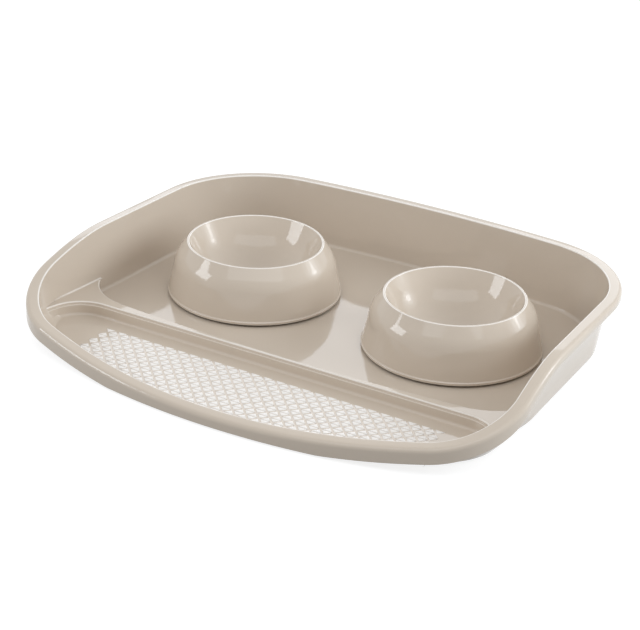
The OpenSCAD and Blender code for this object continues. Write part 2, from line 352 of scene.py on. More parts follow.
@dataclass(frozen=True)
class Finish:
    """A moulded material: two close colours, fine bumps, and maybe varied gloss and a painted
    highlight on tight edges.
    """

    name: str
    colour: Triple
    drift: Triple
    drift_scale: float
    roughness: float
    # Scale and detail of each bump's noise, its strength and its distance.
    bumps: tuple[tuple[float, float, float, float], ...]
    spread: float = 0.0
    spread_scale: float = 30
    # Colour of the painted highlight on tight edges, if any.
    painted_highlight: Triple | None = None

    def make(self) -> Material:
        """Builds the node material.

        Returns:
            The material: noises on Object coordinates mix its colours, vary its roughness and drive
            its bumps, and the mesh's own highlight weights mix in a painted highlight on tight
            edges.
        """
        material = bpy.data.materials.new(self.name)
        material.use_nodes = True
        tree = material.node_tree
        where = add_node(tree, "TexCoord")["Object"]

        def noise(scale: float, detail: float) -> NodeSocket:
            """A noise on the object's own coordinates."""
            inputs = {"Vector": where, "Scale": scale, "Detail": detail}
            return add_node(tree, "TexNoise", inputs)["Fac"]

        colour: Any = (*self.colour, 1)
        shares = [(self.drift, noise(self.drift_scale, 2))]
        # Painted highlight: the mesh's weights mix in a paler colour on tight edges.
        if self.painted_highlight:
            shares.append((self.painted_highlight, add_node(tree, "Attribute", attribute_name=PAINTED_HIGHLIGHT)["Fac"]))
        for other, share in shares:
            inputs = {"A": colour, "B": (*other, 1), "Factor": share}
            colour = add_node(tree, "Mix", inputs, data_type="RGBA")["Result"]
        surface = {"Base Color": colour, "Roughness": self.roughness}
        if self.spread:
            inputs = {"Value": noise(self.spread_scale, 3), "To Min": self.roughness - self.spread,
                      "To Max": self.roughness + self.spread}
            surface["Roughness"] = add_node(tree, "MapRange", inputs)["Result"]
        normal: dict[str, Any] = {}
        for scale, detail, strength, distance in self.bumps:
            inputs = {"Strength": strength, "Distance": distance, "Height": noise(scale, detail),
                      **normal}
            normal = {"Normal": add_node(tree, "Bump", inputs)["Normal"]}
        add_node(tree, tree.nodes["Principled BSDF"], surface | normal)
        return material


# ---- the tray ----


@dataclass(frozen=True)
class TrayPlan:
    """Plan of the tray's opening and the sweep of its rim."""

    depth: float = 365.0
    width: float = 436.0
    forward: float = 1.2
    side_angle: float = 2.4
    front_bow_r: float = 572.0
    back_bow_r: float = 1370.0
    front_corner_r: float = 64.0
    back_corner_r: float = 93.0
    bowl_back: float = 140.0
    floor_top: float = 4.2
    stand: float = 1.8
    back_h: float = 57.8
    front_h: float = 8.3
    fall_start: float = 60.0
    fall_length: float = 300.0
    # Steps of the front bow, the front corner, the side, the back corner and the back bow.
    steps: tuple[int, ...] = (90, 48, 60, 56, 60)

    @property
    def back_y(self) -> float:
        """The opening's back edge; the opening lies forward by half the difference of the rims."""
        return self.depth / 2 - self.forward

    @property
    def front_y(self) -> float:
        """The middle of the opening's front edge."""
        return self.back_y - self.depth

    @property
    def bowl_y(self) -> float:
        """The bowls' centre line."""
        return self.back_y - self.bowl_back

    def bow_and_corner(self, way: int) -> tuple[np.ndarray, float, np.ndarray, float, float]:
        """A bowed edge, and the corner that touches it and the right side's line.

        The corner's centre lies its radius r inside the side's line and R - r from the bow's
        centre. That is a quadratic in its place along the side: p = s + t d, |p - bow| = R - r.

        Args:
            way: 1 at the back edge, -1 at the front edge.

        Returns:
            The bow's centre and radius, the corner's centre and radius, and the angle, in degrees,
            at which the two touch.
        """
        bow_r = self.back_bow_r if way > 0 else self.front_bow_r
        r = self.back_corner_r if way > 0 else self.front_corner_r
        angle = math.radians(self.side_angle)
        bow = np.array([0, (self.back_y if way > 0 else self.front_y) - way * bow_r])
        start = np.array([self.width / 2, self.bowl_y]) - r * unit(angle)
        along = np.array([-math.sin(angle), math.cos(angle)])
        half = float(along @ (start - bow))
        rest = float((start - bow) @ (start - bow)) - (bow_r - r) ** 2
        centre = start + along * (-half + way * math.sqrt(half * half - rest))
        return bow, bow_r, centre, r, math.degrees(math.atan2(*(centre - bow)[::-1]))

    def stations(self) -> tuple[np.ndarray, np.ndarray]:
        """Places round the rim's inner edge, anticlockwise from the middle of the front.

        Returns:
            An array of (x, y) and an array of outward unit normals.
        """
        def bend(centre: np.ndarray, radius: float, start: float, end: float,
                 steps: int) -> tuple[np.ndarray, np.ndarray]:
            """Places of an arc and the angles of its normals."""
            return arc(centre, radius, start, end, steps), np.linspace(start, end, steps + 1)

        front_bow, front_bow_r, front_c, front_r, front_a = self.bow_and_corner(-1)
        back_bow, back_bow_r, back_c, back_r, back_a = self.bow_and_corner(1)
        front, front_corner, side, back_corner, back = self.steps
        low = bend(front_c, front_r, front_a, self.side_angle, front_corner)
        high = bend(back_c, back_r, self.side_angle, back_a, back_corner)
        share = np.linspace(0, 1, side + 1)[:, None]
        line = low[0][-1] * (1 - share) + high[0][0] * share
        runs = [bend(front_bow, front_bow_r, -90, front_a, front), low,
                (line, np.full(side + 1, self.side_angle)), high,
                bend(back_bow, back_bow_r, back_a, 90, back)]
        half, angle = (np.concatenate([part[0][:1], *(run[1:] for run in part)])
                       for part in zip(*runs))
        places = np.concatenate([half, half[-2:0:-1] * [-1, 1]])
        return places, unit(np.radians(np.concatenate([angle, 180 - angle[-2:0:-1]])))

    def fallen(self, y: np.ndarray) -> np.ndarray:
        """Share of its fall that the rim has made at the depth y: a smooth S, 1 at the front."""
        def fall(at: Values) -> np.ndarray:
            """The smooth S itself."""
            return smooth((self.bowl_y - self.fall_start - at) / self.fall_length)

        return fall(y) / fall(self.front_y)

    def rim_z(self, y: np.ndarray) -> np.ndarray:
        """Height of the rim at the depth y."""
        return self.floor_top + self.back_h - (self.back_h - self.front_h) * self.fallen(y)


@dataclass(frozen=True)
class TraySection:
    """Section through the tray's wall, rim and skirt, for all the places round it at once.

    The wall leans by the draft down to a bend at the divider's height. Below it the walls of the
    front tray lean more. The rim is wider at the back, and its skirt is deeper round the front.
    """

    plan: TrayPlan = field(default_factory=TrayPlan)
    thickness: float = 2.4
    draft: float = 8.0
    front_lean: float = 40.0
    lean_x: float = 140.0
    lean_y: float = 77.0
    lean_l: float = 45.0
    bend_h: float = 11.8
    bend_share: float = 0.6
    bend_reach: float = 1.6
    floor_r: float = 3.5
    rim_w: float = 11.13
    rim_back_w: float = 13.6
    rim_edge_r: float = 1.0
    rim_round_r: float = 4.2
    rim_fall: float = 6.0
    skirt_h: float = 14.3
    skirt_back_h: float = 7.5
    growth_share: float = 0.5
    skirt_t: float = 2.2
    hem_r: float = 0.5
    hold: float = 0.35

    @cached_property
    def places(self) -> np.ndarray:
        """Places of the stations in plan."""
        return self.plan.stations()[0]

    @cached_property
    def normals(self) -> np.ndarray:
        """Outward normals at the stations."""
        return self.plan.stations()[1]

    @cached_property
    def rim(self) -> np.ndarray:
        """Heights of the rim at the stations."""
        return self.plan.rim_z(self.places[:, 1])

    @cached_property
    def low_lean(self) -> np.ndarray:
        """Angles, in radians, by which the wall leans below its bend."""
        across = smooth((np.abs(self.places[:, 0]) - self.lean_x) / self.lean_l)
        along = smooth((self.plan.bowl_y - self.lean_y - self.places[:, 1]) / self.lean_l)
        return np.radians(self.draft + (self.front_lean - self.draft) * across * along)

    @cached_property
    def bend(self) -> np.ndarray:
        """Outward places and heights of the bend in the wall's inner face."""
        depth = self.rim - self.plan.floor_top
        z = self.plan.floor_top + np.minimum(self.bend_h, self.bend_share * depth)
        return np.stack([self.wall_in(z), z], axis=-1)

    @cached_property
    def foot(self) -> np.ndarray:
        """Outward places of the centres of the rounding between the floor and the wall."""
        drop = self.plan.floor_top + self.floor_r - self.bend[:, 1]
        return self.bend[:, 0] + drop * np.tan(self.low_lean) - self.floor_r / np.cos(self.low_lean)

    def beyond(self, out: np.ndarray) -> np.ndarray:
        """Points in plan that lie out beyond their station: place + normal * out."""
        station = (slice(None),) + (None,) * (out.ndim - 1)
        return self.places[station] + self.normals[station] * out[..., None]

    def wall_in(self, z: Values) -> np.ndarray:
        """Outward place of the upper wall's inner face at the height z: (z - rim) tan(draft)."""
        return (z - self.rim) * math.tan(math.radians(self.draft))

    def inner_at(self, z: float) -> np.ndarray:
        """The wall's inner face at one height: upper wall, lower wall, or the rounding's circle.

        Args:
            z: the height.

        Returns:
            Its outward place at every station.
        """
        centre_z = self.plan.floor_top + self.floor_r
        low = self.bend[:, 0] + (z - self.bend[:, 1]) * np.tan(self.low_lean)
        down = min(self.floor_r, max(0.0, centre_z - z))
        curve = self.foot + math.sqrt(self.floor_r ** 2 - down ** 2)
        return np.where(z >= self.bend[:, 1], self.wall_in(z), np.where(z >= centre_z, low, curve))

    def points(self) -> np.ndarray:
        """The section from the floor, up the wall, over the rim, down the skirt and back under.

        Returns:
            An array (stations, points, 2) of outward place and height.
        """
        rim, hold, hem_r, low = self.rim, self.hold, self.hem_r, self.low_lean
        draft, tilt = math.radians(self.draft), math.radians(self.rim_fall)

        def at(x: Values, z: Values) -> np.ndarray:
            """One point for every station."""
            return np.stack(np.broadcast_arrays(x, z, rim)[:2], axis=-1)[:, None, :] + 0.0

        def swing(x: Values, z: Values, r: float, a: Values, b: Values, count: int) -> np.ndarray:
            """An arc of radius r about (x, z), in steps from the angle a to b in radians."""
            share = np.linspace(0, 1, count + 1)
            a, b = np.broadcast_arrays(a, b, rim)[:2]
            return at(x, z) + r * unit(a[:, None] * (1 - share) + b[:, None] * share)

        def eased(corner: np.ndarray, count: int = 6) -> np.ndarray:
            """A bend eased by (1 - t)^2 a + 2 t (1 - t) corner + t^2 b, a below and b above."""
            t = np.linspace(0, 1, count + 1)[:, None]
            a = corner - self.bend_reach * np.stack([np.sin(low), np.cos(low)], axis=-1)
            b = corner + self.bend_reach * unit(QUARTER - draft)
            a, b, c = a[:, None], b[:, None], corner[:, None]
            return (1 - t) ** 2 * a + 2 * t * (1 - t) * c + t ** 2 * b

        foot_z = self.plan.floor_top + self.floor_r
        edge_z = rim - self.rim_edge_r
        edge_x = self.wall_in(edge_z) + self.rim_edge_r / math.cos(draft)
        flat_x = edge_x + 3 * hold
        growth = smooth(self.plan.fallen(self.places[:, 1]) / self.growth_share)
        skirt = self.skirt_back_h + (self.skirt_h - self.skirt_back_h) * growth
        back = np.maximum(0, self.normals[:, 1]) ** 2
        out = self.rim_w + (self.rim_back_w - self.rim_w) * back
        inside = out - self.skirt_t
        round_x = out - self.rim_round_r
        tip_x = round_x + self.rim_round_r * math.sin(tilt)
        tip_z = rim - (tip_x - flat_x) * math.tan(tilt)
        round_z = tip_z - self.rim_round_r * math.cos(tilt)
        hem = np.maximum(rim - skirt, self.plan.stand) + hem_r
        under = rim - self.thickness
        move = np.stack([math.cos(draft) + np.cos(low), -math.sin(draft) - np.sin(low)], axis=-1)
        outer_bend = self.bend + self.thickness * move / (1 + np.cos(low - draft))[:, None]
        outer_top = self.wall_in(under) + self.thickness / math.cos(draft)
        top_in = swing(edge_x, edge_z, self.rim_edge_r, math.pi - draft, QUARTER, 6)
        bend_in = eased(self.bend)
        slope = top_in[:, :1] - bend_in[:, -1:]
        slope = slope * (hold / np.linalg.norm(slope, axis=-1, keepdims=True))
        return np.concatenate([
            swing(self.foot, foot_z, self.floor_r, -QUARTER, -low, 10),
            bend_in,
            bend_in[:, -1:] + slope,
            top_in[:, :1] - slope,
            top_in,
            at(edge_x + hold, rim),
            at(flat_x, rim),
            at(tip_x - hold, tip_z + hold * math.tan(tilt)),
            swing(round_x, round_z, self.rim_round_r, QUARTER - tilt, 0, 8),
            at(out, round_z - hold),
            at(out, hem + hold),
            swing(out - hem_r, hem, hem_r, 0, -QUARTER, 3),
            swing(inside + hem_r, hem, hem_r, -QUARTER, -math.pi, 3),
            at(inside, hem + hold),
            at(inside, under - hem_r),
            at(inside - hem_r, under),
            at(outer_top + hem_r, under),
            at(outer_top, under - hem_r),
            eased(outer_bend)[:, ::-1],
            swing(self.foot, foot_z, self.floor_r + self.thickness, -low, -QUARTER, 12),
        ], axis=1)


@dataclass(frozen=True)
class Divider:
    """The raised divider: its front and rear outlines in plan, and the section between them.

    The front is straight and the rear slightly bowed. Both turn into a round corner at each end and
    run straight on into the side walls. A corner is an arc round a fixed centre, so an outline
    drawn in by d keeps its centres and its arcs have the radius r + d. The foot starts a little
    below the floor and meets it a little above, so that no two faces lie in one plane.
    """

    front_y: float = -83.7
    width: float = 4.5
    bow_r: float = 1900.0
    height: float = 11.8
    ledge_h: float = 2.4
    ledge_w: float = 1.8
    front_corner_x: float = 180.0
    front_corner_r: float = 32.0
    front_turn: float = 75.0
    rear_corner_x: float = 162.7
    rear_corner_r: float = 57.0
    rear_turn: float = 64.0
    run_share: float = 1.6
    foot_r: float = 2.6
    foot_sunk: float = 0.05
    foot_clear: float = 0.03
    edge_r: float = 1.1
    ledge_edge_r: float = 0.6
    ledge_foot_r: float = 0.4
    hold: float = 0.3
    straight_steps: int = 60
    corner_steps: int = 48
    run_steps: int = 12

    def path(self, rear: bool, inset: np.ndarray) -> np.ndarray:
        """Points of the front or rear outline, drawn in by each inset, from left to right.

        With the bow's radius R, a rear corner's centre at x lies sqrt((R - r)^2 - x^2) in front of
        the bow's centre, and its arc starts at the turn asin(x / (R - r)). The front has no bow.

        Args:
            rear: whether it is the rear outline.
            inset: how far each copy is drawn in.

        Returns:
            An array (insets, points, 2).
        """
        grown = inset[:, None]
        if rear:
            bow_y = self.front_y + self.width + self.bow_r
            reach = self.bow_r - self.rear_corner_r
            start = math.degrees(math.asin(self.rear_corner_x / reach))
            centre = np.array([self.rear_corner_x, bow_y - reach * math.cos(math.radians(start))])
            r, way, end = self.rear_corner_r, 1, self.rear_turn
            t = np.radians(np.linspace(-start, start, self.straight_steps + 1))[1:-1]
            bow = self.bow_r + grown
            middle = np.stack([bow * np.sin(t), bow_y - bow * np.cos(t)], axis=-1)
        else:
            start = 0.0
            centre = np.array([self.front_corner_x, self.front_y - self.front_corner_r])
            r, way, end = self.front_corner_r, -1, self.front_turn
            x = np.linspace(-centre[0], centre[0], self.straight_steps + 1)[1:-1]
            middle = np.stack(np.broadcast_arrays(x[None], self.front_y + grown), axis=-1)
        w = np.radians(np.linspace(start, end, self.corner_steps + 1))
        out = np.stack([np.sin(w), -way * np.cos(w)], axis=-1)
        right = centre + (r + grown)[..., None] * out
        along = np.array([math.cos(w[-1]), way * math.sin(w[-1])])
        run = along * np.linspace(0, self.run_share * r, self.run_steps + 1)[1:, None]
        right = np.concatenate([right, right[:, -1:] + run], axis=1)
        return np.concatenate([right[:, ::-1] * [-1, 1], middle, right], axis=1)

    def section(self, floor_top: float) -> tuple[np.ndarray, np.ndarray, np.ndarray, np.ndarray]:
        """The section from the front foot over the top to the rear foot.

        Args:
            floor_top: height of the floor.

        Returns:
            Four arrays: whether a point follows the rear outline, its inset, its height, and how
            much painted edge highlight it takes from its tight roundings.
        """
        top = floor_top + self.height
        ledge = top - self.ledge_h
        past_edge = 1.1 * self.edge_r
        foot = [(-self.foot_r * 2, floor_top - self.foot_sunk), (0, floor_top + self.foot_clear)]
        front = held(rounded(
            [*foot, (0, ledge), (self.ledge_w, ledge), (self.ledge_w, top),
             (self.ledge_w + past_edge, top)],
            [self.foot_r, self.ledge_edge_r, self.ledge_foot_r, self.edge_r]), self.hold)
        rear = held(rounded([*foot, (0, top), (past_edge, top)],
                            [self.foot_r, self.edge_r]), self.hold)
        both = np.concatenate([front, rear[::-1]])
        painted_highlight = np.concatenate([ridges(front, -1), ridges(rear, -1)[::-1]])
        return np.arange(len(both)) >= len(front), both[:, 0], both[:, 1], painted_highlight


@dataclass(frozen=True)
class GripPattern:
    """The raised grip pattern: diamonds, each split across by a thin groove into two triangles."""

    cell_x: float = 12.375
    cell_y: float = 12.85
    origin: tuple[float, float] = (-139.7, -118.7)
    cells: int = 40
    diamond_w: float = 9.4
    diamond_h: float = 10.6
    split: float = 0.9
    height: float = 0.45
    bevel: float = 0.35
    sunk: float = 0.1
    wall_h: float = 0.12
    left: float = -164.5
    right: float = 172.5
    rear: float = -99.05
    edge_rear: float = -99.1
    margin: float = 2.0

    def triangles(self, section: TraySection) -> np.ndarray:
        """Corners in plan of the halves of a centred lattice's diamonds that lie in the field.

        Args:
            section: the tray's section, which gives the front edge of its floor.

        Returns:
            An array (triangles, 3, 2), each anticlockwise.
        """
        i = np.arange(-self.cells, self.cells + 1)
        u, v = np.meshgrid(i, i, indexing="ij")
        even = np.stack([u * self.cell_x, v * self.cell_y], axis=-1).reshape(-1, 2)
        odd = even + [self.cell_x / 2, self.cell_y / 2]
        centres = (np.concatenate([even, odd]) + self.origin)[:, None]
        half_w = self.diamond_w / 2 * (1 - self.split / self.diamond_h)
        low, high = self.split / 2, self.diamond_h / 2
        upper = np.array([[-half_w, low], [half_w, low], [0, high]])
        corners = np.concatenate([centres + upper, centres - upper])
        edge = section.beyond(section.foot - self.margin)
        front = edge[edge[:, 1] < self.edge_rear]
        front = front[np.argsort(front[:, 0])]
        x, y = corners[..., 0], corners[..., 1]
        ahead = (y < self.rear) & (y > np.interp(x, front[:, 0], front[:, 1]))
        return corners[((x > self.left) & (x < self.right) & ahead).all(axis=1)]

    def add_to(self, batch: MeshBatch, section: TraySection) -> None:
        """Adds every triangle as a low block with sloping edges.

        A block has four rings of three corners: below the floor, at the foot of its slope, half way
        up and on the top. Corner k of a ring drawn in by d is c + (p - c) (1 - d / r), with r the
        inscribed radius.

        Args:
            batch: the piece's mesh.
            section: the tray's section.
        """
        corners = self.triangles(section)
        centre = corners.mean(axis=1, keepdims=True)
        sides = np.linalg.norm(corners - np.roll(corners, 1, axis=1), axis=-1)
        half = sides.sum(axis=1) / 2
        area = np.sqrt(half * np.prod(half[:, None] - sides, axis=1))
        inner = (area / half)[:, None, None]
        levels = ((0, -self.sunk), (0, self.wall_h), (self.bevel / 2, self.height * 0.8),
                  (self.bevel, self.height))
        rings = [lifted(centre + (corners - centre) * (1 - inset / inner),
                        section.plan.floor_top + z) for inset, z in levels]
        k = np.arange(3)
        ring = np.stack([k, (k + 1) % 3, (k + 1) % 3 + 3, k + 3], axis=-1)
        quads = np.concatenate([ring, ring + 3, ring + 6])
        base = (np.arange(len(corners)) * 12)[:, None, None]
        start = batch.add(np.stack(rings, axis=1), (quads + base).reshape(-1, 4))
        batch.faces.extend((k + 9 + base + start).reshape(-1, 3).tolist())


@dataclass
class Tray:
    """The moulded tray: shell, divider, grip pattern and the rings that hold the pads below."""

    section: TraySection = field(default_factory=TraySection)
    divider: Divider = field(default_factory=Divider)
    grip: GripPattern = field(default_factory=GripPattern)
    side_normal: float = 0.35
    divider_past: float = 1.0
    top_steps: int = 13
    # Shares of painted edge highlight on the divider's top edges and on its ledge.
    top_shine: float = 0.8
    ledge_shine: float = 0.25
    fillet_r: float = 1.5
    fillet_from: float = 16.0
    fillet_to: float = 1.5
    # The painted highlight along the shelf fillets, and the depth over which it fades in.
    fillet_shine: float = 0.6
    fillet_fade: float = 30.0
    fillet_steps: int = 8
    pad_r: float = 9.0
    pad_edge_r: float = 0.5
    pad_fit: float = 0.4
    ring_w: float = 1.6
    ring_edge_r: float = 0.25
    ring_h: float = 0.8
    ring_sunk: float = 0.3
    pad_pitch_x: float = 300.0
    pad_back_y: float = 70.0
    pad_front_y: float = 38.0
    segments: int = 64
    body: str = "tray_body"

    @property
    def plan(self) -> TrayPlan:
        """The plan that the section runs round."""
        return self.section.plan

    def pad_at(self, corner: Corner) -> Triple:
        """Place of a rubber pad below the tray."""
        sx, sy = corner.value
        back, front = self.plan.bowl_y + self.pad_back_y, self.divider.front_y - self.pad_front_y
        return sx * self.pad_pitch_x / 2, back if sy > 0 else front, 0.0

    def add_shell(self, batch: MeshBatch) -> None:
        """Adds the shell: point (i, j) is place i + normal i * outward j, at the height j.

        Each end of the section is closed by a narrow level ring and one flat face. Only the rim's
        ridges take painted edge highlight, and each of them spreads it to the next point of the
        section.

        Args:
            batch: the piece's mesh.
        """
        level, near_rim = [-0.5, 0], 2
        flat = self.section.points()
        flat = np.concatenate([flat[:, :1] + level, flat, flat[:, -1:] + level], axis=1)
        rows, cols = flat.shape[:2]
        # Painted edge highlight on the rim's tight roundings, spread to the next point.
        painted_highlight = ridges(flat, -1) * (flat[..., 1] > self.section.rim[:, None] - near_rim)
        painted_highlight[:, 1:] = np.maximum(painted_highlight[:, 1:], painted_highlight[:, :-1])
        points = lifted(self.section.beyond(flat[..., 0]), flat[..., 1])
        start = batch.add(points, grid_faces(rows, cols, wrap_rows=True), painted_highlight)
        first = start + np.arange(rows) * cols
        batch.faces += [first.tolist(), (first + cols - 1)[::-1].tolist()]

    def wall_x(self, y: np.ndarray, z: float) -> np.ndarray:
        """Greatest x for the divider, a little inside the right wall's thickness.

        Args:
            y: depths.
            z: height.

        Returns:
            The limits.
        """
        section = self.section
        right = (section.places[:, 0] > 0) & (section.normals[:, 0] > self.side_normal)
        edge = section.beyond(section.inner_at(z) + self.divider_past)[right]
        order = np.argsort(edge[:, 1])
        return np.interp(y, edge[order, 1], edge[order, 0])

    def add_divider(self, batch: MeshBatch) -> None:
        """Adds the divider as a loft: column j of the section runs along its outline, by its inset.

        Points past the side walls are moved back to just inside the walls' thickness.

        Args:
            batch: the piece's mesh.
        """
        is_rear, inset, z, painted_highlight = self.divider.section(self.plan.floor_top)
        columns = np.where(is_rear[:, None, None], self.divider.path(True, inset),
                           self.divider.path(False, inset))
        hi = int(np.flatnonzero(is_rear)[0])
        lo, steps = hi - 1, self.top_steps
        share = np.linspace(0, 1, steps + 1)[1:-1, None, None]
        top = columns[lo] * (1 - share) + columns[hi] * share
        columns = np.concatenate([columns[:hi], top, columns[hi:]])
        z = np.insert(z, hi, np.full(steps - 1, z[lo]))
        painted_highlight = np.insert(painted_highlight, hi, np.zeros(steps - 1))
        limit = np.stack([self.wall_x(c[:, 1], float(h)) for c, h in zip(columns, z)])
        columns[..., 0] = np.clip(columns[..., 0], -limit, limit)
        # Painted edge highlight: the top's edges take more of it than the ledge's.
        near_top = 1
        shine = np.where(z > z[lo] - near_top, self.top_shine, self.ledge_shine)
        batch.add(lifted(columns, z[:, None]), grid_faces(*columns.shape[:2]),
                  (painted_highlight * shine)[:, None])
        front, rear = (columns[k][(columns[k, :, 0] > 0) & (columns[k, :, 0] >= limit[k] - TINY), 1]
                       for k in (lo, lo + steps))
        self.add_shelf_fillets(batch, float(z[lo]), front.max() + self.fillet_from,
                               rear.min() - self.fillet_to)

    def add_shelf_fillets(self, batch: MeshBatch, top: float, front: float, rear: float) -> None:
        """Adds the small hollow rounding where the divider's ends run into the side walls.

        At a station whose wall is at x, the rounding is the arc of radius r about (x - r, top + r)
        from straight down to the wall, with both of its ends sunk a little. Its points take a
        painted highlight line, strongest across its middle, that fades in from the front.

        Args:
            batch: the piece's mesh.
            top: height of the divider's top.
            front: the depth at which the rounding starts.
            rear: the depth at which it ends.
        """
        r, steps = self.fillet_r, self.fillet_steps
        into_wall, above_top, past = 0.12, 0.02, 10
        centre = (-r + into_wall, top + r + above_top)
        curve = arc(centre, r, -90 - past, self.section.draft, steps)
        x, y = self.section.places.T
        points = lifted(self.section.beyond(self.section.inner_at(top)[:, None] + curve[:, 0]),
                        curve[:, 1])
        # A painted highlight line along the rounding, strongest at its middle and fading in from
        # the front.
        across = np.sin(np.linspace(0, math.pi, steps + 1)) * self.fillet_shine
        highlight_share = across * smooth((y - front) / self.fillet_fade)[:, None]
        for side in Side:
            here = (y > front) & (y < rear) & (x * side.value > 0)
            batch.add(points[here], grid_faces(int(here.sum()), steps + 1), highlight_share[here])

    def add_rings(self, batch: MeshBatch) -> None:
        """Adds the ring round each pad as a closed turned profile with rounded lower edges.

        Args:
            batch: the piece's mesh.
        """
        inner = self.pad_r + self.pad_fit
        outer = inner + self.ring_w
        low, high = self.plan.stand - self.ring_h, self.plan.stand + self.ring_sunk
        sharp = [(inner, high), (inner, low), (outer, low), (outer, high)]
        profile = rounded(sharp, [self.ring_edge_r] * 2, 3)
        for corner in Corner:
            batch.lathe(profile, self.pad_at(corner), self.segments, ring=True)

    def build(self, plastic: Material, painted_sheen: Material, rubber: Material) -> None:
        """Builds the tray's piece, its grip pattern and its four pads.

        Args:
            plastic: the moulding's finish.
            painted_sheen: the grip pattern's finish, paler than the tray's plastic by painted
                sheen.
            rubber: the pads' finish.
        """
        batch = MeshBatch()
        self.add_shell(batch)
        self.add_divider(batch)
        self.add_rings(batch)
        batch.build("tray_moulding", self.body, "tray_plastic", plastic, ["tray"])
        # The grip pattern takes the finish whose paler colour is painted sheen.
        pattern = MeshBatch()
        self.grip.add_to(pattern, self.section)
        pattern.build("tray_grip", self.body, "tray_plastic", painted_sheen)
        sharp = [(0, 0), (self.pad_r, 0), (self.pad_r, self.plan.stand), (0, self.plan.stand)]
        profile = held(rounded(sharp, [self.pad_edge_r, 0.1], 4), 0.2)
        for corner in Corner:
            pad = MeshBatch()
            pad.lathe(profile, self.pad_at(corner), self.segments)
            node = f"tray_foot_{corner.label}"
            pad.build(f"pad_{corner.label}", self.body, "foot_rubber", rubber, [node])


# ---- the bowls ----


